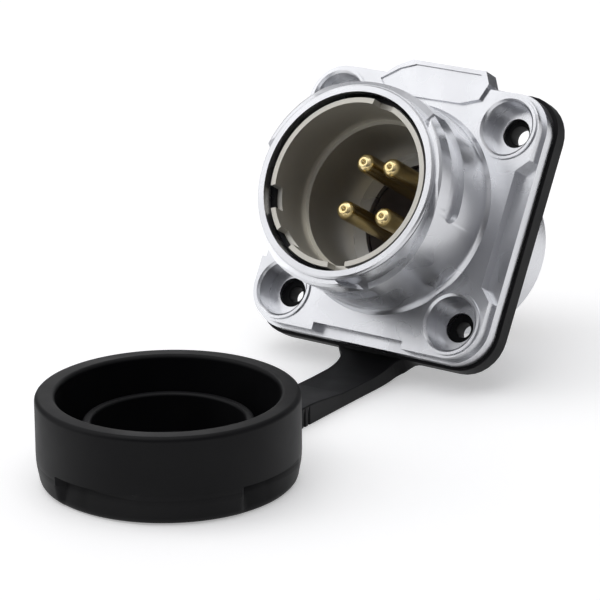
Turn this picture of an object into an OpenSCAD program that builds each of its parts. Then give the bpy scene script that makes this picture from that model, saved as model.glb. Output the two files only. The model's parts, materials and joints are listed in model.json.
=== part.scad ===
// Panel connector: chrome-plated die-cast receptacle with four gold pins,
// a rubber flange gasket, and a rubber dust cap on a moulded strap.
// Frame: origin at the middle of the gasket's back face, where it meets the
// panel; x to the right seen from the front, the mouth faces -y, z up.
// Inside the pieces "height" is the distance in front of the panel face.

/* [Flange] */
// Width and height of the metal flange
flange_w = 35.2; // [30:0.1:42]
// Corner radius of the metal flange
flange_corner_r = 5.0; // [2:0.1:8]
// Thickness of the metal flange with its pad
flange_t = 3.4; // [2:0.1:6]
// Height of the raised pad above the side ledges
pad_step = 1.5; // [0.5:0.1:3]
// How far the pad's edge stays inside the flange's edge
pad_margin = 0.4; // [0.1:0.05:1.5]
// Length of the ledges cut in the left and right sides of the pad
side_ledge_len = 18.4; // [10:0.1:22]
// Depth of those ledges, in from the pad's edge
side_ledge_in = 1.6; // [0.5:0.1:3]
// Length of the ledge at the bottom, above the strap
bottom_ledge_len = 13.5; // [8:0.1:20]
// Depth of the bottom ledge, in from the pad's edge
bottom_ledge_in = 1.0; // [0.4:0.1:3]

/* [Screw holes] */
// Spacing of the four screw holes, both ways
hole_pitch = 25.5; // [20:0.1:32]
// Diameter of the screw holes
hole_d = 3.8; // [2.5:0.1:5]
// Diameter of the counterbores
counterbore_d = 6.9; // [5:0.1:9]
// Depth of the counterbores
counterbore_depth = 2.5; // [1:0.1:3]
// Outer diameter of the raised rim round each counterbore
boss_d = 8.2; // [7:0.1:10]
// Height of that rim above the pad
boss_step = 0.25; // [0.1:0.05:0.6]

/* [Name tab] */
// Width of the blank tab at the top edge
tab_w = 16.4; // [10:0.1:22]
// Height of the blank tab
tab_h = 4.8; // [3:0.1:7]
// Height of the tab's middle above the connector's axis
tab_z = 16.9; // [14:0.1:20]
// How far the tab stands above the pad
tab_step = 0.5; // [0.2:0.05:1.5]
// Depth of the blank field in the tab
tab_field_depth = 0.25; // [0.1:0.05:0.5]

/* [Barrel] */
// Outer diameter of the barrel
barrel_d = 26.7; // [22:0.1:32]
// Outer diameter of the rim at the mouth
rim_d = 24.9; // [20:0.1:30]
// Set-back of the barrel's front shoulder from the mouth
shoulder_setback = 0.5; // [0.2:0.1:3]
// Length of the barrel in front of the pad
barrel_len = 12.7; // [8:0.1:20]
// Diameter of the barrel's foot on the pad
foot_d = 27.7; // [24:0.1:34]
// Wall of the mouth's outer rim
rim_wall = 0.95; // [0.5:0.05:2]
// Radial width of the seal groove behind the rim
seal_groove_w = 0.6; // [0.3:0.05:1.2]
// Depth of the seal groove from the mouth
seal_groove_depth = 2.6; // [1:0.1:5]
// Diameter of the bore at the mouth
bore_d = 20.5; // [16:0.1:24]
// Diameter of the bore below its step
lower_bore_d = 19.5; // [14:0.1:23]
// Depth of the bore's step from the mouth
bore_step_depth = 8.2; // [3:0.1:12]
// Outer diameter of the tube behind the panel
rear_tube_d = 22.4; // [18:0.1:26]
// Length of the tube behind the panel face
rear_tube_len = 15.2; // [8:0.1:20]
// Depth of the relief between the flange and the tube's full diameter
relief_in = 0.4; // [0.2:0.05:2]
// How far that relief runs on behind the panel face
relief_len = 0.4; // [0.1:0.05:2]
// Chamfer of the tube's back edge
tube_chamfer = 0.4; // [0.1:0.05:1]

/* [Bayonet] */
// Number of bayonet cams round the barrel
cam_count = 3; // [2:1:3]
// Diameter of the cams' floors
cam_d = 25.1; // [21:0.1:31]
// Height of each ramp's low end above the pad
ramp_low = 9.2; // [7:0.1:11]
// Height of each ramp at its bend above the pad
ramp_mid = 9.8; // [7:0.1:12]
// Sideways distance of the ramp's low end from the ramp's middle
ramp_reach = 8.6; // [5:0.1:11]
// Width of the locking slot at the ramp's end
slot_w = 3.3; // [2:0.1:5]
// Height of the slot's middle above the pad
slot_height = 7.9; // [4:0.1:9]
// Angle the locking slot takes up
slot_angle = 56; // [30:1:70]
// Direction of the middle of the first ramp
ramp_dir = -25; // [-180:1:180]

/* [Keyway ring] */
// Set-back of the keyway ring from the mouth
key_setback = 0.6; // [0.2:0.1:2]
// Width of the keyways
keyway_w = 3.0; // [1.5:0.1:5]
// Width of the narrow keyway
narrow_keyway_w = 2.4; // [1:0.1:4]
// Depth of the keyways along the bore
keyway_depth = 1.8; // [1:0.1:3]

/* [Pins] */
// Diameter of the contact pins
pin_d = 2.5; // [1.5:0.1:4]
// Depth of the pin tips from the mouth
pin_setback = 6.0; // [3:0.1:9]
// Sideways spacing of the upper two pins
upper_spacing = 3.9; // [3.5:0.1:7]
// Sideways spacing of the lower two pins
lower_spacing = 5.7; // [3.5:0.1:8]
// Height of the upper pins above the axis
upper_pin_z = 3.9; // [2:0.1:6]
// Depth of the lower pins under the axis
lower_pin_z = 2.4; // [2:0.1:6]
// Diameter of the collar that holds each pin
collar_d = 3.4; // [2.8:0.1:4]
// Length of that collar
collar_len = 1.6; // [1:0.1:3]
// Diameter of the solder cups
cup_d = 3.0; // [2.6:0.1:4]
// Bore of the solder cups
cup_bore_d = 2.2; // [1.6:0.1:3]
// Depth of the solder cups
cup_depth = 3.2; // [2:0.1:5]
// How far the solder cups stand out of the retaining nut
cup_reach = 1.2; // [0.4:0.1:4]

/* [Insulator] */
// Depth of the insulator's front face behind the panel face
floor_back = 2.3; // [0.5:0.1:4]
// Diameter of the insulator's front boss
boss_face_d = 15.8; // [12:0.1:19]
// Height of the metal ledge above the insulator's front face
ledge_rise = 0.9; // [0.2:0.05:2]
// Thickness of the shoulder the insulator bears on
shoulder_t = 1.6; // [1:0.1:3]
// Thickness of the front insulator's body
front_insulator_t = 3.0; // [2:0.1:6]
// Thickness of the rear insulator
rear_insulator_t = 2.6; // [1.5:0.1:5]
// Thickness of the ring seal between the insulator and the shoulder
ring_seal_t = 0.8; // [0.5:0.1:1.5]
// Length of the retaining nut
nut_len = 2.6; // [1.5:0.1:5]
// Opening of the retaining nut
nut_open_d = 14.6; // [12:0.1:15]

/* [Gasket and strap] */
// How far the gasket stands out round the flange
gasket_margin = 0.4; // [0.1:0.05:2]
// Thickness of the gasket and of the strap
rubber_t = 2.2; // [1:0.1:4]
// Distance of the strap's bending line under the gasket's edge
root_drop = 1.4; // [1.2:0.1:4]
// Width of the flare on each side of the strap's root
root_flare = 1.6; // [0.5:0.1:4]
// Width of the strap at the gasket
strap_root_w = 8.4; // [6:0.1:14]
// Width of the strap at the cap
strap_end_w = 6.6; // [5:0.1:14]
// Length of the strap between its two bending lines
strap_len = 25.7; // [15:0.1:45]
// Bend of the strap forward out of the gasket's plane, as it lies
strap_bend = 60; // [0:1:90]
// Turn of the strap to the right, as it lies
strap_turn = 2.4; // [-10:0.1:10]
// Gap round the bending lines
hinge_gap = 0.65; // [0.3:0.05:1]

/* [Cap] */
// Outer diameter of the dust cap
cap_d = 31.0; // [27:0.1:38]
// Height of the dust cap
cap_h = 9.2; // [6:0.1:16]
// Bore of the dust cap
cap_bore_d = 26.2; // [25:0.1:34]
// Thickness of the cap's closed end
cap_floor_t = 2.4; // [1.2:0.1:4]
// Outer diameter of the plug rib inside the cap
rib_d = 20.1; // [14:0.1:24]
// Wall of the plug rib
rib_wall = 1.1; // [0.6:0.1:2]
// Set-back of the rib from the cap's rim
rib_setback = 1.9; // [0.5:0.1:5]
// Number of grip recesses round the closed end, one place being the strap's
grip_count = 4; // [2:1:8]
// Angle that each grip recess takes up
grip_angle = 43; // [20:1:60]
// Depth of the grip recesses at their tops
grip_in = 0.7; // [0.1:0.05:1.2]
// Height of the grip recesses
grip_h = 3.3; // [1:0.1:5]
// Length from the second bending line to the cap's wall
cap_lug_len = 2.6; // [1.8:0.1:5]

/* [Fits] */
// Clearance round pieces that sit in one another
fit_gap = 0.03; // [0.01:0.01:0.1]
// Clearance of the gasket round the rear tube
gasket_gap = 0.2; // [0.05:0.05:0.5]

/* [Hidden] */
$fn = 96;
pad_top = rubber_t + flange_t;
ledge_top = pad_top - pad_step;
pad_w = flange_w - 2 * pad_margin;
mouth = pad_top + barrel_len;
barrel_r = barrel_d / 2;
rim_r = rim_d / 2;
cam_r = cam_d / 2;
shoulder_z = mouth - shoulder_setback;
bore_r = bore_d / 2;
lower_bore_r = lower_bore_d / 2;
rim_in_r = rim_r - rim_wall;
key_out_r = rim_in_r - seal_groove_w;
step_z = mouth - bore_step_depth;
groove_floor = mouth - seal_groove_depth;
key_top = mouth - key_setback;
floor_z = -floor_back;
shoulder_top = floor_z + ledge_rise;
shoulder_low = shoulder_top - shoulder_t;
seal_low = shoulder_low - ring_seal_t;
front_low = seal_low - front_insulator_t;
rear_low = front_low - rear_insulator_t;
nut_low = rear_low - nut_len;
seat_r = lower_bore_r;
collar_top = front_low + collar_len / 2;
pin_tip = mouth - pin_setback;
cup_low = nut_low - cup_reach;
relief_d = rear_tube_d - 2 * relief_in;
gasket_w = flange_w + 2 * gasket_margin;
gasket_corner_r = flange_corner_r + gasket_margin / 2;
root_line_z = gasket_w / 2 + root_drop;
knuckle_r = rubber_t / 2;
socket_r = knuckle_r + hinge_gap;
root_y = rubber_t / 2;
cap_centre = strap_len + cap_lug_len + cap_d / 2;
pin_at = [
  [-upper_spacing / 2, upper_pin_z],
  [upper_spacing / 2, upper_pin_z],
  [-lower_spacing / 2, -lower_pin_z],
  [lower_spacing / 2, -lower_pin_z]
];

// ---- shared shapes -------------------------------------------------------

// Turns a piece drawn upright so that its height runs towards the mouth.
module facing_front() {
  rotate([90, 0, 0])
    children();
}

// A square with true round corners.
module round_square(w, r) {
  square([w, w - 2 * r], center = true);
  square([w - 2 * r, w], center = true);
  for (sx = [-1, 1])
    for (sy = [-1, 1])
      translate([sx * (w / 2 - r), sy * (w / 2 - r)])
        circle(r = r);
}

// Places a child at each of the four screw holes.
module at_holes() {
  for (sx = [-1, 1])
    for (sy = [-1, 1])
      translate([sx * hole_pitch / 2, sy * hole_pitch / 2, 0])
        children();
}

// A sector of a ring, from one angle to another.
module ring_sector(inner, from, to) {
  rotate([0, 0, from])
    rotate_extrude(angle = to - from)
      translate([inner, 0])
        children();
}

// The frame of the strap as it lies: x across, y along, z up off the ground.
module strap_frame() {
  translate([0, -root_y, -root_line_z])
    rotate([90 - strap_bend, 0, 0])
      rotate([0, 0, 180 + strap_turn])
        children();
}

// ---- shell ---------------------------------------------------------------

// The pad's outline with the ledges cut in its sides and its bottom.
module pad_outline() {
  difference() {
    round_square(pad_w, flange_corner_r - pad_margin);
    for (s = [-1, 1])
      translate([s * pad_w / 2, 0])
        ledge_cut(side_ledge_len, side_ledge_in);
    translate([0, -pad_w / 2])
      rotate([0, 0, 90])
        ledge_cut(bottom_ledge_len, bottom_ledge_in);
  }
}

// One ledge cut: a long rectangle with slanted ends.
module ledge_cut(length, depth) {
  polygon([
    [-depth, -length / 2 + depth],
    [-depth, length / 2 - depth],
    [0, length / 2],
    [depth, length / 2],
    [depth, -length / 2],
    [0, -length / 2]
  ]);
}

// The blank tab's outline: a leaning plate with clipped corners.
module tab_outline(inset) {
  w = tab_w / 2 - inset;
  h = tab_h / 2 - inset;
  polygon([
    [-w, -0.35 * h],
    [-w + 1.0, -h],
    [w - 3.4, -h + 0.2],
    [w - 0.8, -0.55 * h],
    [w, 0.35 * h],
    [w - 0.9, h],
    [-w + 4.6, h],
    [-w + 2.4, 0.55 * h]
  ]);
}

// The solid parts of the shell in front of the panel and behind it.
module shell_body() {
  translate([0, 0, rubber_t])
    linear_extrude(height = ledge_top - rubber_t)
      round_square(flange_w, flange_corner_r);
  translate([0, 0, ledge_top - 0.01])
    linear_extrude(height = pad_step + 0.01)
      pad_outline();
  at_holes()
    translate([0, 0, ledge_top])
      cylinder(d = boss_d, h = pad_step + boss_step);
  translate([0.5, tab_z, ledge_top - 0.6])
    linear_extrude(height = pad_step + 0.6 + tab_step)
      tab_outline(0);
  rotate_extrude()
    barrel_profile();
  translate([0, 0, -relief_len - 0.01])
    cylinder(d = relief_d, h = relief_len + rubber_t + 0.02);
  translate([0, 0, -rear_tube_len])
    rotate_extrude()
      rear_tube_profile();
}

// Half of the rear tube's outline, with its back edge broken.
module rear_tube_profile() {
  tube_r = rear_tube_d / 2;
  top = rear_tube_len - relief_len;
  polygon([
    [0, 0],
    [tube_r - tube_chamfer, 0],
    [tube_r, tube_chamfer],
    [tube_r, top],
    [0, top]
  ]);
}

// Half of the barrel's outline: foot, wall, front shoulder and rim.
module barrel_profile() {
  foot_r = foot_d / 2;
  polygon([
    [0, ledge_top - 0.5],
    [foot_r, ledge_top - 0.5],
    [foot_r, pad_top + 0.1],
    [foot_r - 0.3, pad_top + 0.5],
    [barrel_r, pad_top + 1],
    [barrel_r, shoulder_z - 0.3],
    [barrel_r - 0.3, shoulder_z],
    [rim_r, shoulder_z],
    [rim_r, mouth - 0.2],
    [rim_r - 0.2, mouth],
    [0, mouth]
  ]);
}

// The stepped bore from the mouth to the back, the seal groove in the mouth
// and the seat of the insulator.
module shell_bore() {
  translate([0, 0, step_z])
    cylinder(r = bore_r, h = barrel_len + 10);
  translate([0, 0, shoulder_top])
    cylinder(r = lower_bore_r, h = step_z - shoulder_top + 0.01);
  translate([0, 0, shoulder_low - 1])
    cylinder(d = boss_face_d + 2 * fit_gap, h = shoulder_t + 2);
  translate([0, 0, -rear_tube_len - 1])
    cylinder(r = seat_r + fit_gap, h = shoulder_low + rear_tube_len + 1);
  difference() {
    translate([0, 0, groove_floor])
      cylinder(r = rim_in_r, h = seal_groove_depth + 1);
    translate([0, 0, groove_floor - 1])
      cylinder(r = key_out_r, h = seal_groove_depth - key_setback + 1);
  }
}

// The keyways through the inner ring of the mouth, at uneven angles.
module keyway(dir, width) {
  rotate([0, 0, dir])
    translate([bore_r - 1, -width / 2, key_top - keyway_depth])
      cube([key_out_r - bore_r + 1.2, width, keyway_depth + 2]);
}

// One bayonet cam: an open ramp that leads down to a level locking slot.
module bayonet_cam() {
  low_angle = asin(ramp_reach / barrel_r);
  ramp_from = ramp_dir - low_angle;
  top = barrel_len + 2;
  intersection() {
    translate([0, 0, pad_top])
      difference() {
        cylinder(r = barrel_r + 1, h = top);
        translate([0, 0, -1])
          cylinder(r = cam_r, h = top + 2);
      }
    rotate([0, 0, ramp_dir])
      translate([0, 0, pad_top])
        rotate([90, 0, 90])
          linear_extrude(height = barrel_r + 2)
            polygon([
              [-ramp_reach, ramp_low],
              [-ramp_reach - 0.6, ramp_low + 0.7],
              [-ramp_reach - 2.4, top],
              [barrel_r * 0.78, top],
              [barrel_r * 0.70, barrel_len],
              [-ramp_reach + 5, ramp_mid]
            ]);
  }
  slot_low = pad_top + slot_height - slot_w / 2;
  translate([0, 0, slot_low])
    ring_sector(cam_r, ramp_from - slot_angle, ramp_from + 0.5)
      square([barrel_r - cam_r + 1, slot_w]);
  rotate([0, 0, ramp_from - slot_angle])
    translate([0, 0, pad_top + slot_height])
      slot_end();
}

// The round end of a locking slot.
module slot_end() {
  intersection() {
    rotate([0, 90, 0])
      cylinder(d = slot_w, h = barrel_r + 1);
    translate([0, 0, -slot_w])
      difference() {
        cylinder(r = barrel_r + 1, h = 2 * slot_w);
        translate([0, 0, -1])
          cylinder(r = cam_r, h = 2 * slot_w + 2);
      }
  }
}

// The four counterbored screw holes.
module screw_holes() {
  at_holes() {
    translate([0, 0, -1])
      cylinder(d = hole_d, h = pad_top + 2);
    translate([0, 0, pad_top - counterbore_depth])
      cylinder(d = counterbore_d, h = counterbore_depth + 1);
    translate([0, 0, pad_top + boss_step - 0.3])
      rotate_extrude()
        polygon([
          [0, 0],
          [counterbore_d / 2, 0],
          [counterbore_d / 2 + 0.31, 0.31],
          [0, 0.31]
        ]);
  }
}

module shell() {
  color([0.80, 0.82, 0.84])
    facing_front()
      difference() {
        shell_body();
        shell_bore();
        screw_holes();
        for (i = [0:cam_count - 1])
          rotate([0, 0, i * 360 / cam_count])
            bayonet_cam();
        keyway(79, keyway_w);
        keyway(199.5, keyway_w);
        keyway(232, keyway_w);
        keyway(281, narrow_keyway_w);
        translate([0.5, tab_z, pad_top + tab_step - tab_field_depth])
          linear_extrude(height = 2)
            tab_outline(0.55);
      }
}

// ---- seals ---------------------------------------------------------------

// The black seal that lies in the groove of the mouth.
module mouth_seal() {
  color([0.06, 0.06, 0.06])
    facing_front()
      translate([0, 0, groove_floor])
        difference() {
          cylinder(r = rim_in_r - fit_gap, h = seal_groove_depth - keyway_depth - 0.1);
          translate([0, 0, -1])
            cylinder(r = key_out_r + fit_gap, h = seal_groove_depth + 2);
        }
}

// The ring seal between the shoulder and the insulator.
module ring_seal() {
  color([0.10, 0.10, 0.10])
    facing_front()
      translate([0, 0, seal_low])
        difference() {
          cylinder(r = seat_r - fit_gap, h = ring_seal_t);
          translate([0, 0, -1])
            cylinder(d = boss_face_d + 4 * fit_gap, h = ring_seal_t + 2);
        }
}

// ---- insulators ----------------------------------------------------------

// A hole for each pin, of the given diameter.
module at_pins() {
  for (p = pin_at)
    translate([p[0], p[1], 0])
      children();
}

module front_insulator() {
  color([0.08, 0.07, 0.07])
    facing_front()
      difference() {
        union() {
          translate([0, 0, front_low])
            cylinder(r = seat_r - fit_gap, h = front_insulator_t);
          translate([0, 0, front_low])
            cylinder(d = boss_face_d, h = floor_z - front_low);
        }
        at_pins() {
          translate([0, 0, front_low - 1])
            cylinder(d = pin_d + 2 * fit_gap, h = floor_z - front_low + 2);
          translate([0, 0, front_low - 1])
            cylinder(d = collar_d + 2 * fit_gap, h = collar_len / 2 + 1);
        }
      }
}

module rear_insulator() {
  color([0.12, 0.11, 0.11])
    facing_front()
      difference() {
        translate([0, 0, rear_low])
          cylinder(r = seat_r - fit_gap, h = rear_insulator_t);
        at_pins() {
          translate([0, 0, rear_low - 1])
            cylinder(d = cup_d + 2 * fit_gap, h = rear_insulator_t + 2);
          translate([0, 0, front_low - collar_len / 2])
            cylinder(d = collar_d + 2 * fit_gap, h = collar_len / 2 + 1);
        }
      }
}

// The ring that screws into the rear tube, with two slots for its key.
module retaining_nut() {
  color([0.72, 0.74, 0.76])
    facing_front()
      difference() {
        translate([0, 0, nut_low])
          cylinder(r = seat_r - fit_gap, h = nut_len);
        translate([0, 0, nut_low - 1])
          cylinder(d = nut_open_d, h = nut_len + 2);
        translate([-seat_r - 1, -1, nut_low - 1])
          cube([2 * seat_r + 2, 2, 2.2]);
      }
}

// ---- pins ----------------------------------------------------------------

// One contact: round-nosed pin, collar and solder cup, turned from one bar.
module contact() {
  difference() {
    rotate_extrude()
      polygon([
        [0, cup_low],
        [cup_d / 2, cup_low],
        [cup_d / 2, front_low - collar_len / 2],
        [collar_d / 2, front_low - collar_len / 2],
        [collar_d / 2, collar_top],
        [pin_d / 2, collar_top],
        [pin_d / 2, pin_tip - 0.9],
        [pin_d / 2 - 0.09, pin_tip - 0.5],
        [pin_d / 2 - 0.3, pin_tip - 0.18],
        [pin_d / 2 - 0.6, pin_tip],
        [0.35, pin_tip],
        [0, pin_tip - 0.35]
      ]);
    translate([0, 0, cup_low - 1])
      cylinder(d = cup_bore_d, h = cup_depth + 1);
    translate([-cup_d, -cup_d - 0.4, cup_low - 1])
      cube([2 * cup_d, cup_d, cup_depth]);
  }
}

module pin_n(i) {
  color([0.83, 0.66, 0.30])
    facing_front()
      translate([pin_at[i][0], pin_at[i][1], 0])
        contact();
}

module pin_1() {
  pin_n(0);
}

module pin_2() {
  pin_n(1);
}

module pin_3() {
  pin_n(2);
}

module pin_4() {
  pin_n(3);
}

// ---- gasket, strap and cap -----------------------------------------------

module gasket() {
  color([0.07, 0.07, 0.07])
    difference() {
      facing_front()
        difference() {
          union() {
            linear_extrude(height = rubber_t)
              round_square(gasket_w, gasket_corner_r);
            linear_extrude(height = rubber_t)
              polygon([
                [-strap_root_w / 2 - root_flare, -gasket_w / 2 + 1],
                [-strap_root_w / 2 - root_flare, -gasket_w / 2 + 0.01],
                [-strap_root_w / 2, -gasket_w / 2 - 0.6],
                [-strap_root_w / 2, -root_line_z - 0.1],
                [strap_root_w / 2, -root_line_z - 0.1],
                [strap_root_w / 2, -gasket_w / 2 - 0.6],
                [strap_root_w / 2 + root_flare, -gasket_w / 2 + 0.01],
                [strap_root_w / 2 + root_flare, -gasket_w / 2 + 1]
              ]);
          }
          translate([0, 0, -1])
            cylinder(d = rear_tube_d + 2 * gasket_gap, h = rubber_t + 2);
          at_holes()
            translate([0, 0, -1])
              cylinder(d = hole_d, h = rubber_t + 2);
        }
      strap_frame()
        rotate([0, 90, 0])
          cylinder(r = socket_r, h = strap_root_w + 2 * hinge_gap, center = true);
    }
}

// The strap between its two bending lines, with full round ends.
module strap() {
  color([0.07, 0.07, 0.07])
    strap_frame() {
      translate([0, 0, -knuckle_r])
        linear_extrude(height = rubber_t)
          polygon([
            [-strap_root_w / 2, 0],
            [strap_root_w / 2, 0],
            [strap_end_w / 2, strap_len],
            [-strap_end_w / 2, strap_len]
          ]);
      rotate([0, 90, 0])
        cylinder(r = knuckle_r, h = strap_root_w, center = true);
      translate([0, strap_len, 0])
        rotate([0, 90, 0])
          cylinder(r = knuckle_r, h = strap_end_w, center = true);
    }
}

// One grip recess: its back leans out towards the closed end.
module grip_recess() {
  cap_r = cap_d / 2;
  ring_sector(0, -grip_angle / 2, grip_angle / 2)
    polygon([
      [cap_r - grip_in, grip_h],
      [cap_r - 0.2, -0.1],
      [cap_r + 1, -0.1],
      [cap_r + 1, grip_h]
    ]);
}

module cap() {
  cap_r = cap_d / 2;
  cap_bore_r = cap_bore_d / 2;
  rib_r = rib_d / 2;
  color([0.06, 0.06, 0.06])
    strap_frame()
      difference() {
        union() {
          translate([0, cap_centre, -knuckle_r])
            rotate_extrude()
              polygon([
                [0, 0],
                [cap_r - 0.5, 0],
                [cap_r, 0.5],
                [cap_r, cap_h - 0.5],
                [cap_r - 0.15, cap_h - 0.15],
                [cap_r - 0.5, cap_h],
                [cap_bore_r + 0.4, cap_h],
                [cap_bore_r, cap_h - 0.4],
                [cap_bore_r, cap_floor_t],
                [rib_r, cap_floor_t],
                [rib_r, cap_h - rib_setback - 0.3],
                [rib_r - 0.3, cap_h - rib_setback],
                [rib_r - rib_wall + 0.3, cap_h - rib_setback],
                [rib_r - rib_wall, cap_h - rib_setback - 0.3],
                [rib_r - rib_wall, cap_floor_t],
                [0, cap_floor_t]
              ]);
          translate([0, 0, -knuckle_r])
            linear_extrude(height = rubber_t)
              polygon([
                [-strap_end_w / 2, strap_len + 0.1],
                [strap_end_w / 2, strap_len + 0.1],
                [strap_end_w / 2 + 1.2, strap_len + cap_lug_len + 1.2],
                [-strap_end_w / 2 - 1.2, strap_len + cap_lug_len + 1.2]
              ]);
        }
        translate([0, strap_len, 0])
          rotate([0, 90, 0])
            cylinder(r = socket_r, h = 3 * strap_end_w, center = true);
        for (i = [0:grip_count - 2])
          translate([0, cap_centre, -knuckle_r])
            rotate([0, 0, (i + 1) * 360 / grip_count - 90])
              grip_recess();
      }
}

shell();
mouth_seal();
ring_seal();
front_insulator();
rear_insulator();
retaining_nut();
pin_1();
pin_2();
pin_3();
pin_4();
gasket();
strap();
cap();
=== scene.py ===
"""Panel connector with four gold pins, a rubber flange gasket and a tethered dust cap."""

import json
from math import atan2, cos, exp, pi, radians, sin, tan

import bmesh
import bpy
from mathutils import Matrix, Vector


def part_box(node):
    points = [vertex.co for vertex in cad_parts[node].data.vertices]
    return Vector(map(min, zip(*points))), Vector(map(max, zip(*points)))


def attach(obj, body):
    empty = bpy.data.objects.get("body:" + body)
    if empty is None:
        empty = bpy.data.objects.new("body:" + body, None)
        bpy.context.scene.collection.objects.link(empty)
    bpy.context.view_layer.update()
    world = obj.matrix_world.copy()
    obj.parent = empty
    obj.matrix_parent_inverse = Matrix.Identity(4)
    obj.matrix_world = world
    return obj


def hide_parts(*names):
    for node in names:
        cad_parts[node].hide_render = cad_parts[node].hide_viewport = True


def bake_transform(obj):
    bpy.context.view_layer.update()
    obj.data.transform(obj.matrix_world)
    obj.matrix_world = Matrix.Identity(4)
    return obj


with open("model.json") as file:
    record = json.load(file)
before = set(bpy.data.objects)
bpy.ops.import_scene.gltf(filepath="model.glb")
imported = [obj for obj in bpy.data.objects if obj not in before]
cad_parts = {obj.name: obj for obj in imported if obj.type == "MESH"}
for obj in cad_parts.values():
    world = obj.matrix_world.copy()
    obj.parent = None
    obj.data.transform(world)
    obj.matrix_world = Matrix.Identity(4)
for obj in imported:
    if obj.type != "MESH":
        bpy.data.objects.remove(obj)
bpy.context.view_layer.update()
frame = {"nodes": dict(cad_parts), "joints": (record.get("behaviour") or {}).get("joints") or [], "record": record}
mm = 0.001


# ---- Ground, camera and light ----------------------------------------------
# The connector leans back on its rear tube while the strap and the cap lie flat
# on a white table, so the table's frame comes from the strap's two hinges.

hinges = {joint["name"]: joint for joint in frame["joints"]}
root = Vector(hinges["strap_bend"]["pos_m"])
neck = Vector(hinges["cap_fold"]["pos_m"])
across = Vector(hinges["strap_bend"]["axis"]).normalized()
along = (neck - root).normalized()
ground_up = across.cross(along).normalized()
rubber_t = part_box("gasket")[1].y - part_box("gasket")[0].y


def linear(hex_colour):
    """An sRGB hex colour as the linear values that a shader takes."""
    parts = [int(hex_colour[i:i + 2], 16) / 255 for i in (1, 3, 5)]
    light = [c / 12.92 if c <= 0.04045 else ((c + 0.055) / 1.055) ** 2.4
             for c in parts]
    return (*light, 1)


def add(tree, kind, inputs=None, **settings):
    """Adds a node. Inputs are values, or output sockets to link, by name or number."""
    made = tree.nodes.new(kind)
    for name, value in settings.items():
        setattr(made, name, value)
    for key, value in (inputs or {}).items():
        if isinstance(value, bpy.types.NodeSocket):
            tree.links.new(value, made.inputs[key])
        else:
            made.inputs[key].default_value = value
    return made


def new_material(name):
    """An empty material and its tree."""
    made = bpy.data.materials.new(name)
    made.use_nodes = True
    made.node_tree.nodes.clear()
    return made, made.node_tree


def noise(tree, size, detail=2.0):
    """A noise texture in the object's own space; size is that of one blotch."""
    spot = add(tree, "ShaderNodeTexCoord")
    return add(tree, "ShaderNodeTexNoise",
               {"Vector": spot.outputs["Object"], "Scale": 1 / size, "Detail": detail})


def bump(tree, pattern, strength, depth, over=None):
    """Bumps from a pattern, on top of other bumps if there are any."""
    made = add(tree, "ShaderNodeBump",
               {"Height": pattern.outputs["Fac"], "Strength": strength, "Distance": depth})
    if over:
        tree.links.new(over.outputs[0], made.inputs["Normal"])
    return made


def between(tree, pattern, low, high):
    """A value that follows a pattern's middle range from low to high."""
    return add(tree, "ShaderNodeMapRange",
               {"Value": pattern.outputs["Fac"], "From Min": 0.3, "From Max": 0.7,
                "To Min": low, "To Max": high})


def two_tone(tree, pattern, dark, light):
    """A colour that follows a pattern from dark to light."""
    return add(tree, "ShaderNodeMix",
               {0: pattern.outputs["Fac"], 6: linear(dark), 7: linear(light)},
               data_type="RGBA")


def surface(tree, **inputs):
    """A Principled shader on the material's output; _ stands for a space in a name."""
    shader = add(tree, "ShaderNodeBsdfPrincipled",
                 {name.replace("_", " "): value for name, value in inputs.items()})
    add(tree, "ShaderNodeOutputMaterial", {"Surface": shader.outputs[0]})


def new_object(name, shape):
    """A mesh object at the origin from a bmesh, which is freed."""
    data = bpy.data.meshes.new(name)
    shape.to_mesh(data)
    shape.free()
    made = bpy.data.objects.new(name, data)
    bpy.context.scene.collection.objects.link(made)
    return made


# The columns are the strap's directions: across it, along it and up off the table.
table = Matrix((across, along, ground_up)).transposed()
table_place = root - ground_up * (rubber_t / 2 + 0.00002)

sheet = bmesh.new()
bmesh.ops.create_grid(sheet, x_segments=1, y_segments=1, size=2.0)
bmesh.ops.transform(sheet, matrix=Matrix.Translation(table_place) @ table.to_4x4(),
                    verts=sheet.verts)
ground = new_object("table_top", sheet)

white_table, tree = new_material("white_laminate")
ray = add(tree, "ShaderNodeLightPath")
seen = add(tree, "ShaderNodeMath",
           {0: ray.outputs["Is Camera Ray"], 1: ray.outputs["Is Glossy Ray"]},
           operation="MAXIMUM")
seen = add(tree, "ShaderNodeMath",
           {0: seen.outputs[0], 1: ray.outputs["Is Transmission Ray"]},
           operation="MAXIMUM")
matt = add(tree, "ShaderNodeBsdfDiffuse", {"Color": linear("#F2F2F2")})
lift = add(tree, "ShaderNodeEmission", {"Color": linear("#FFFFFF"), "Strength": 0.34})
both = add(tree, "ShaderNodeAddShader", {0: matt.outputs[0], 1: lift.outputs[0]})
front = add(tree, "ShaderNodeMixShader",
            {0: seen.outputs[0], 1: matt.outputs[0], 2: both.outputs[0]})
# From below the table is clear, so that the connector shows from there too.
side = add(tree, "ShaderNodeNewGeometry")
under = add(tree, "ShaderNodeMath",
            {0: side.outputs["Backfacing"], 1: ray.outputs["Is Camera Ray"]},
            operation="MULTIPLY")
clear = add(tree, "ShaderNodeBsdfTransparent")
shown = add(tree, "ShaderNodeMixShader",
            {0: under.outputs[0], 1: front.outputs[0], 2: clear.outputs[0]})
add(tree, "ShaderNodeOutputMaterial", {"Surface": shown.outputs[0]})
ground.data.materials.append(white_table)

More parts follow.
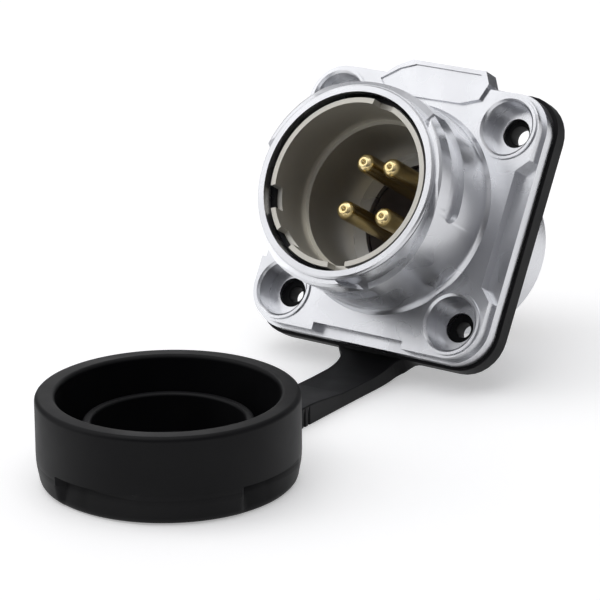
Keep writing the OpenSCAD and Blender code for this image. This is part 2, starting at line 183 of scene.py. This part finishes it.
# A studio room: pale below the table's edge, dim low down and bright overhead.
room = bpy.data.worlds.new("studio")
bpy.context.scene.world = room
room.use_nodes = True
tree = room.node_tree
tree.nodes.clear()
way = add(tree, "ShaderNodeTexCoord")
height = add(tree, "ShaderNodeVectorMath", {0: way.outputs["Generated"], 1: ground_up},
             operation="DOT_PRODUCT")
half = add(tree, "ShaderNodeMapRange",
           {"Value": height.outputs["Value"], "From Min": -1.0, "From Max": 1.0})
shade = add(tree, "ShaderNodeValToRGB", {"Fac": half.outputs[0]})
shade.color_ramp.elements[0].position = 0.40
shade.color_ramp.elements[0].color = linear("#C8C8C8")
shade.color_ramp.elements[1].position = 1.0
shade.color_ramp.elements[1].color = linear("#DADADC")
for place, colour in ((0.50, "#343438"), (0.60, "#525256"), (0.78, "#ACACB0")):
    stop = shade.color_ramp.elements.new(place)
    stop.color = linear(colour)
ray = add(tree, "ShaderNodeLightPath")
light = add(tree, "ShaderNodeBackground", {"Color": shade.outputs[0], "Strength": 0.85})
white = add(tree, "ShaderNodeBackground", {"Color": linear("#FFFFFF"), "Strength": 1.0})
shown = add(tree, "ShaderNodeMixShader",
            {0: ray.outputs["Is Camera Ray"], 1: light.outputs[0], 2: white.outputs[0]})
add(tree, "ShaderNodeOutputWorld", {"Surface": shown.outputs[0]})


def towards(azimuth, elevation):
    """A direction from degrees round the table and above it."""
    a, e = radians(azimuth), radians(elevation)
    return table @ Vector((cos(a) * cos(e), sin(a) * cos(e), sin(e)))


def facing(back, roll=0):
    """The turn of a lamp or a camera whose back points that way."""
    right = Matrix.Rotation(radians(roll), 3, back) @ ground_up.cross(back).normalized()
    return Matrix((right, back.cross(right), back)).transposed().to_4x4()


def soft_box(name, azimuth, elevation, width, depth, power, distance=0.7):
    """A rectangular lamp that points at the connector, placed from the table's frame."""
    lamp = bpy.data.lights.new(name, "AREA")
    lamp.shape = "RECTANGLE"
    lamp.size = width
    lamp.size_y = depth
    lamp.energy = power
    holder = bpy.data.objects.new(name, lamp)
    bpy.context.scene.collection.objects.link(holder)
    back = towards(azimuth, elevation)
    holder.matrix_world = Matrix.Translation(aim + back * distance) @ facing(back)


# The camera stands low in front of the mouth, with a long lens.
aim = Vector((-10.4, -4.5, -13.7)) * mm
back = towards(123.1, 18.17)
lens = bpy.data.cameras.new("camera")
lens.lens = 214.3
lens.sensor_width = 36
lens.clip_start = 0.01
camera = bpy.data.objects.new("camera", lens)
bpy.context.scene.collection.objects.link(camera)
camera.matrix_world = Matrix.Translation(aim + back * 0.455) @ facing(back, roll=-0.5)
bpy.context.scene.camera = camera
bpy.context.scene.view_settings.view_transform = "Standard"

# The overhead box lights the table, the front one the flange, and the one behind
# draws the light edge round the cap's rim.
soft_box("overhead", azimuth=60, elevation=78, width=0.7, depth=0.7, power=1.7)
soft_box("front_left", azimuth=30, elevation=32, width=0.5, depth=0.5, power=0.98)
soft_box("right", azimuth=205, elevation=25, width=0.4, depth=0.5, power=0.1)
soft_box("behind", azimuth=303, elevation=22, width=0.6, depth=0.35, power=0.7)


# ---- Shell ------------------------------------------------------------------
# The shell is one zinc die casting, tumbled and plated with nickel and chrome.
# Tumbling leaves its edges round and its faces satin rather than mirror bright.

def even_shading(made, sharp):
    """Smooth shading that keeps broad faces flat and turns in the round edges."""
    made.data.shade_smooth()
    made.data.set_sharp_from_angle(angle=radians(sharp))
    even = made.modifiers.new("even_faces", "WEIGHTED_NORMAL")
    even.mode = "FACE_AREA"
    even.keep_sharp = True


def eased_copy(node, name, width, sharp=25, segments=3):
    """A copy of a CAD node, merged, with its sharp edges rounded to a width."""
    shape = bmesh.new()
    shape.from_mesh(frame["nodes"][node].data)
    bmesh.ops.remove_doubles(shape, verts=shape.verts, dist=0.002 * mm)
    bmesh.ops.dissolve_limit(shape, angle_limit=radians(0.6),
                             verts=shape.verts, edges=shape.edges)
    edges = [e for e in shape.edges
             if e.is_manifold and e.calc_face_angle(0) > radians(sharp)]
    bmesh.ops.bevel(shape, geom=edges, offset=width, offset_type="OFFSET",
                    segments=segments, profile=0.5, affect="EDGES", material=-1,
                    clamp_overlap=True)
    made = new_object(name, shape)
    even_shading(made, sharp=50)
    return made


def plated(name, colour, shine, metallic):
    """Plated die casting: shine is the roughness where the skin waves are lowest."""
    made, tree = new_material(name)
    # The casting skin waves over about 6 mm.
    waves = noise(tree, 6 * mm, detail=1.0)
    # The tumbled grain is 0.1 mm in reality, and is drawn 0.22 mm wide so that it shows.
    grain = noise(tree, 0.22 * mm, detail=3.0)
    polish = between(tree, waves, shine, shine + 0.08)
    wavy = bump(tree, waves, 0.2, 0.04 * mm)
    skin = bump(tree, grain, 0.5, 0.012 * mm, over=wavy)
    surface(tree, Base_Color=linear(colour), Metallic=metallic,
            Roughness=polish.outputs[0], Normal=skin.outputs[0])
    return made


chrome = plated("satin_chrome_die_casting", "#D6D7DA", 0.24, 1.0)
# Plating hardly reaches into the bore, which stays duller; its darker, warmer colour is painted shade for the
# recess and a painted reflection of the gold pins.
bore_plate_and_painted_shade = plated("bore_nickel_and_painted_shade", "#CBC8BF", 0.36, 0.72)


def dress(made, material, body, slot, *nodes):
    """Gives a piece its material and body, and hides the CAD nodes it replaces; the slot is not used."""
    made.data.materials.clear()
    made.data.materials.append(material)
    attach(made, body)
    if nodes:
        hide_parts(*nodes)


shell = eased_copy("shell", "plated_shell", 0.16 * mm)
dress(shell, chrome, "receptacle", "chrome_casting", "shell")
shell.data.materials.append(bore_plate_and_painted_shade)
# Faces inside the bore take that material: its darker, warmer colour there is painted shade and a painted
# reflection of the gold pins.
inside_r, inside_end = 11.05 * mm, 1 * mm
for face in shell.data.polygons:
    corners = [shell.data.vertices[i].co for i in face.vertices]
    in_bore = all(Vector((v.x, v.z)).length < inside_r for v in corners)
    if in_bore and face.center.y < inside_end:
        face.material_index = 1
dress(eased_copy("retaining_nut", "screwed_nut", 0.12 * mm), chrome,
      "receptacle", "chrome_casting", "retaining_nut")


# ---- Pins -------------------------------------------------------------------
# Each contact is turned from one brass bar with a round nose, a lathe centre in
# its tip and a solder cup behind, then plated with satin gold.

gold, tree = new_material("satin_gold_plate")
spot = add(tree, "ShaderNodeTexCoord")
# The tool leaves rings along the pin. A wave's scale counts twenty rings to the unit.
ring_pitch = 0.12 * mm
turned = add(tree, "ShaderNodeTexWave",
             {"Vector": spot.outputs["Object"], "Scale": 1 / ring_pitch / 20,
              "Distortion": 0.6, "Detail": 1.0}, bands_direction="Y")
tone = two_tone(tree, noise(tree, 1.2 * mm), "#F0D490", "#FAE9B8")
ridge = bump(tree, turned, 0.12, 0.01 * mm)
surface(tree, Base_Color=tone.outputs[2], Metallic=1.0, Roughness=0.24,
        Normal=ridge.outputs[0])

centre_r, nose_len, drilled = 0.2 * mm, 0.6 * mm, 0.7 * mm
for number in range(1, 5):
    contact = eased_copy(f"pin_{number}", f"turned_pin_{number}", 0.08 * mm,
                         sharp=18, segments=2)
    # The centre drill went deeper than the plain cone.
    low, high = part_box(f"pin_{number}")
    axis = Vector(((low.x + high.x) / 2, 0, (low.z + high.z) / 2))
    for v in contact.data.vertices:
        off_axis = (Vector((v.co.x, 0, v.co.z)) - axis).length
        if v.co.y < low.y + nose_len and off_axis < centre_r:
            v.co.y += drilled
    dress(contact, gold, "receptacle", "gold_contact", f"pin_{number}")


# ---- Insulators and seals ---------------------------------------------------
# Two discs of dark phenolic hold the pins. Their moulded faces are nearly matt,
# with a little flow mottle. The seals are black rubber rings with round edges.

phenolic, tree = new_material("moulded_phenolic")
mottle = noise(tree, 0.8 * mm, detail=3.0)
tone = two_tone(tree, mottle, "#261C1B", "#3A2C2A")
rough = bump(tree, mottle, 0.2, 0.02 * mm)
surface(tree, Base_Color=tone.outputs[2], Roughness=0.42, IOR=1.58,
        Normal=rough.outputs[0])

rubber, tree = new_material("moulded_black_rubber")
# The spark-eroded mould leaves a fine pebble on the rubber, drawn 0.16 mm wide.
pebble = noise(tree, 0.16 * mm)
bloom = noise(tree, 7 * mm, detail=3.0)
tone = two_tone(tree, bloom, "#08080A", "#0E0E10")
matt = between(tree, bloom, 0.46, 0.56)
pebbled = bump(tree, pebble, 0.35, 0.015 * mm)
surface(tree, Base_Color=tone.outputs[2], Roughness=matt.outputs[0],
        Specular_IOR_Level=0.16, Normal=pebbled.outputs[0])

for node, name, width, material, slot in (
        ("front_insulator", "front_disc", 0.15 * mm, phenolic, "dark_insulator"),
        ("rear_insulator", "rear_disc", 0.15 * mm, phenolic, "dark_insulator"),
        ("mouth_seal", "lip_seal", 0.15 * mm, rubber, "black_rubber"),
        ("ring_seal", "flat_seal", 0.12 * mm, rubber, "black_rubber")):
    dress(eased_copy(node, name, width), material, "receptacle", slot, node)


# ---- Gasket, strap and cap --------------------------------------------------
# One moulding in soft black rubber: the gasket pressed between flange and panel,
# the flat strap that grows out of its lower edge, and the cap at its end. It is
# built flat, as it leaves the mould, and is then bent over where it meets the table.

def reach(node, direction):
    """How far a CAD node extends along a direction: its lowest and highest places."""
    places = [v.co.dot(direction) for v in frame["nodes"][node].data.vertices]
    return min(places), max(places)


def rounded(corners, steps=6):
    """A closed outline whose corners, each (x, y, radius), are turned into arcs."""
    outline = []
    for i, (x, y, radius) in enumerate(corners):
        corner = Vector((x, y))
        before = (Vector(corners[i - 1][:2]) - corner).normalized()
        after = (Vector(corners[(i + 1) % len(corners)][:2]) - corner).normalized()
        if radius == 0:
            outline.append(corner)
            continue
        opening = before.angle(after)
        middle = corner + (before + after).normalized() * (radius / sin(opening / 2))
        start = corner + before * (radius / tan(opening / 2)) - middle
        turn = (pi - opening) * (1 if before.cross(after) < 0 else -1)
        for k in range(steps + 1):
            outline.append(middle + Matrix.Rotation(turn * k / steps, 2) @ start)
    return outline


def loop(shape, outline, y):
    """A closed ring of edges on the plane at y, from points that hold x and z."""
    ring = [shape.verts.new((point.x, y, point.y)) for point in outline]
    return [shape.edges.new((a, b)) for a, b in zip(ring, ring[1:] + ring[:1])]


def extruded(shape, faces, move):
    """Draws faces out along a vector, with walls behind them."""
    drawn_out = bmesh.ops.extrude_face_region(shape, geom=faces)["geom"]
    corners = [v for v in drawn_out if isinstance(v, bmesh.types.BMVert)]
    bmesh.ops.translate(shape, vec=move, verts=corners)


def cut(shape, **plane):
    """Cuts a whole shape along a plane."""
    bmesh.ops.bisect_plane(shape, geom=shape.verts[:] + shape.edges[:] + shape.faces[:],
                           dist=hair, **plane)


hair = 0.001 * mm
low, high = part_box("gasket")
panel_y, front_y = high.y, low.y
sheet_mid = (panel_y + front_y) / 2
half_w = high.x
corner_r = 5.1 * mm
edge_r = 0.28 * mm
screws = frame["record"]["mounts"][0]["dims"]["spacing_x_mm"] * mm
tube_r = 11.35 * mm
# The rubber grips the screws: its holes are small. The lower two are smaller still, so that their dark rubber
# stands in for the shade seen through them.
upper_screw_r, lower_screw_r = 1.25 * mm, 1.0 * mm
# The strap's root, to the left and to the right of the line between the hinges.
left_half, right_half = 4.6 * mm, 4.8 * mm
left_fillet, right_fillet = 0.5 * mm, 2.4 * mm
stub = right_fillet + 0.4 * mm

# The sheet's outline, with fillets where the strap leaves the lower edge.
moulding = bmesh.new()
end_z = -half_w - stub
outline = rounded([(-half_w, half_w, corner_r), (half_w, half_w, corner_r),
                   (half_w, -half_w, corner_r), (right_half, -half_w, right_fillet),
                   (right_half, end_z, 0), (-left_half, end_z, 0),
                   (-left_half, -half_w, left_fillet), (-half_w, -half_w, corner_r)],
                  steps=8)
edges = loop(moulding, outline, panel_y)
holes = [(0, 0, tube_r, 96)]
for side in (-1, 1):
    holes += [(side * screws / 2, -screws / 2, lower_screw_r, 32),
              (side * screws / 2, screws / 2, upper_screw_r, 32)]
for x, z, radius, sides in holes:
    turns = [2 * pi * k / sides for k in range(sides)]
    circle = [Vector((x + radius * cos(turn), z + radius * sin(turn))) for turn in turns]
    edges += loop(moulding, circle, panel_y)
bmesh.ops.triangle_fill(moulding, edges=edges, use_beauty=True, use_dissolve=True)
extruded(moulding, moulding.faces[:], (0, front_y - panel_y, 0))
bmesh.ops.recalc_face_normals(moulding, faces=moulding.faces)


def at_end(piece):
    """True for an edge or a face that lies in the strap's cut end."""
    return all(abs(v.co.z - end_z) < hair for v in piece.verts)


# Round the sheet's edges, but not those of the strap's cut end, which goes on.
rim = [e for e in moulding.edges
       if e.calc_face_angle(0) > radians(60) and not at_end(e)
       and abs(e.verts[0].co.y - e.verts[1].co.y) < hair]
bmesh.ops.bevel(moulding, geom=rim, offset=edge_r, offset_type="OFFSET", segments=4,
                profile=0.5, affect="EDGES", material=-1, clamp_overlap=True)

# The bend: a sharp turn close under the gasket, then a long easing onto the table.
bend_z = -half_w
bend_angle = Vector((0, 0, -1)).angle(along)
bend_start = Vector((0, sheet_mid, bend_z))
sharp_len, sharp_share = 0.9 * mm, 0.57
step = 0.1 * mm


def eased(x, start, end):
    """A soft step from 0 to 1 between two places."""
    share = max(0, min(1, (x - start) / (end - start)))
    return share * share * (3 - 2 * share)


def bent_path(length):
    """Places along the bend, one a step, as (distance, forward, down, slope)."""
    forward, down, path = 0, 0, []
    for k in range(int(length / step) + 2):
        s = min(k * step, length)
        slope = bend_angle * (sharp_share * max(0, 1 - s / sharp_len)
                              + (1 - sharp_share) * (1 - s / length) ** 3)
        path.append((s, forward, down, slope))
        forward += step * cos(slope)
        down += step * sin(slope)
    return path


# The bend's length is the one that ends at the height of the hinges.
short, long = 2 * mm, 18 * mm
for _ in range(24):
    bend_len = (short + long) / 2
    if bent_path(bend_len)[-1][2] < (bend_start - root).dot(ground_up):
        short = bend_len
    else:
        long = bend_len
bend = bent_path(bend_len)
# How much further a place is along the strap than it is from the root line.
excess = bend_len - bend[-1][1] - (bend_start - root).dot(along)

# Draw the strap out of that end, in rows that the bend and the grooves need.
cap_r = (reach("cap", across)[1] - reach("cap", across)[0]) / 2
cap_mid = reach("cap", along)[1] - root.dot(along) - cap_r
strap_end_at = cap_mid - cap_r + excess
into_cap = 0.8 * mm
flare_len = 2.6 * mm
flare_from = strap_end_at - flare_len
groove_w, groove_in = 0.5 * mm, 0.45 * mm
grooves = [place * mm + excess for place in (20.3, 21.3)]
face = [f for f in moulding.faces if at_end(f)]
drawn_end = bend_z - strap_end_at - into_cap
extruded(moulding, face, (0, 0, drawn_end - end_z))
bmesh.ops.delete(moulding, geom=face, context="FACES_ONLY")
rows = [sharp_len * k / 6 for k in range(7)]
rows += [sharp_len + (bend_len - sharp_len) * k / 12 for k in range(1, 13)]
rows += [bend_len + (2 + 3 * k) * mm for k in range(5)]
for groove in grooves:
    rows += [groove + groove_w * share for share in (-0.5, -0.2, 0.2, 0.5)]
rows += [flare_from + 0.5 * mm * k for k in range(7)]
for row in rows:
    cut(moulding, plane_co=(0, 0, bend_z - row), plane_no=(0, 0, 1))

# Narrow it to the neck, cut the grooves, flare it at the cap and bend it over. The
# left half narrows quickly from the root, the right half slowly.
left_neck, left_fall = 2.4 * mm, 1.5 * mm
right_neck, right_fall = 4.2 * mm, 6 * mm
neck_mid = (right_neck - left_neck) / 2 + 0.1 * mm
flat_turn = Matrix(((-1, 0, 0), (0, 0, -1), (0, -1, 0))).to_quaternion()
bent_turn = table.to_quaternion()
for v in moulding.verts:
    s = bend_z - v.co.z
    if s <= 0:
        continue
    at = max(0, s - excess)
    a = -v.co.x
    if a > 0:
        a *= (left_neck + 1.9 * mm * exp(-at / left_fall)) / left_half
    else:
        a *= (right_neck + 0.5 * mm * exp(-at / right_fall)) / right_half
    # The strap is thinner in the middle of its length and thicker at the cap.
    rise = sheet_mid - v.co.y
    if rise > 0:
        rise *= 1 - 0.38 * eased(at, 0, 6 * mm) + 0.73 * eased(at, 11 * mm, 20 * mm)
    # The grooves cross the lower part of the right side only.
    low_right = a < -3.6 * mm and rise < 0.2 * mm
    if low_right and any(abs(s - groove) < groove_w / 4 for groove in grooves):
        a += groove_in
    flare = min(max(0, s - flare_from) / flare_len, 1.3)
    a += (a + neck_mid) * 0.30 * flare ** 2
    k = min(int(s / step), len(bend) - 1)
    before, after = bend[k], bend[min(k + 1, len(bend) - 1)]
    share = 0
    if s < bend_len and after[0] > before[0]:
        share = (s - before[0]) / (after[0] - before[0])
    forward, down, slope = [before[i] + (after[i] - before[i]) * share for i in (1, 2, 3)]
    turn = flat_turn.slerp(bent_turn, 1 - slope / bend_angle).to_matrix()
    middle = bend_start + along * (forward + max(0, s - bend_len)) - ground_up * down
    v.co = middle + turn @ Vector((a, 0, rise))

# The cap is moulded open side up, with a plug ring inside and a parting line. The
# solids' cap is lower, and its plug ring stands as high as this one.
cap_low, cap_top = reach("cap", ground_up)
cap_h = cap_top - cap_low + 1.5 * mm
bore_r = 13.1 * mm
rib_r, rib_wall, rib_down = 10.05 * mm, 1.1 * mm, 3.4 * mm
rib_in, rib_h = rib_r - rib_wall, cap_h - rib_down
floor_h = 2.4 * mm
draft = 0.1 * mm
part_h, part_in = 3.1 * mm, 0.06 * mm
grip_h, grip_in, grip_width = 3.7 * mm, 1.5 * mm, 43
wall = rounded([(0, 0, 0), (cap_r - 0.55 * mm, 0, 1.1 * mm),
                (cap_r - 0.06 * mm, 2.6 * mm, 2.5 * mm),
                (cap_r, cap_h, 0.6 * mm), (bore_r, cap_h, 0.5 * mm),
                (bore_r - draft, floor_h, 0.4 * mm), (rib_r + draft, floor_h, 0.3 * mm),
                (rib_r, rib_h, 0.35 * mm), (rib_in, rib_h, 0.35 * mm),
                (rib_in - draft, floor_h, 0.3 * mm), (0, floor_h, 0)], steps=5)
# The parting line, and the rows that the grips' roofs need.
rows = [(part_in / 2, part_h - 0.1 * mm), (part_in, part_h), (part_in / 2, part_h + 0.1 * mm),
        (0.02 * mm, grip_h - 0.3 * mm), (0, grip_h - 0.05 * mm), (0, grip_h),
        (0, grip_h + 0.3 * mm)]
above = next(i for i, p in enumerate(wall) if p.y > 2.9 * mm)
wall[above:above] = [Vector((cap_r - inset, h)) for inset, h in rows]
cap_shape = bmesh.new()
line = [cap_shape.verts.new((p.x, 0, p.y)) for p in wall]
edges = [cap_shape.edges.new(pair) for pair in zip(line, line[1:])]
bmesh.ops.spin(cap_shape, geom=line + edges, cent=(0, 0, 0), axis=(0, 0, 1),
               angle=2 * pi, steps=240, use_merge=True)
bmesh.ops.remove_doubles(cap_shape, verts=cap_shape.verts, dist=0.002 * mm)
bmesh.ops.dissolve_degenerate(cap_shape, edges=cap_shape.edges, dist=hair)
bmesh.ops.recalc_face_normals(cap_shape, faces=cap_shape.faces)
# Three finger scoops in the closed end: deepest under their roofs and at one end.
for v in cap_shape.verts:
    radius = Vector((v.co.x, v.co.y)).length
    if radius < cap_r - 1.6 * mm or v.co.z > grip_h - 0.03 * mm:
        continue
    for centre in (-pi / 2, 0, pi / 2):
        share = 0.5 + (atan2(v.co.x, v.co.y) - centre) / radians(grip_width)
        if 0 < share < 1:
            deep = min(1, share * 1.6) * eased(1 - share, 0, 0.03) * v.co.z / grip_h
            inward = (radius - grip_in * deep) / radius
            v.co.x *= inward
            v.co.y *= inward
cap_place = root + along * cap_mid + ground_up * (cap_low - root.dot(ground_up))
bmesh.ops.transform(cap_shape, matrix=Matrix.Translation(cap_place) @ table.to_4x4(),
                    verts=cap_shape.verts)

# The moulding is parted in the middle of the strap, between the two hinges.
# The halves meet on the same line.
middle = (root + neck) / 2
far = moulding.copy()
for half, near in ((moulding, True), (far, False)):
    cut(half, plane_co=middle, plane_no=along, clear_outer=near, clear_inner=not near)
    bmesh.ops.holes_fill(half, edges=[e for e in half.edges if e.is_boundary])
    bmesh.ops.recalc_face_normals(half, faces=half.faces)

gasket = new_object("gasket_and_strap_root", moulding)
strap_end = new_object("strap_end", far)
cap = new_object("dust_cap", cap_shape)
for piece in (gasket, strap_end, cap):
    even_shading(piece, sharp=42)
    piece.data.materials.append(rubber)
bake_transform(gasket)
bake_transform(strap_end)
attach(cap, "cap")
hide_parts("gasket")
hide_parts("strap")
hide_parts("cap")
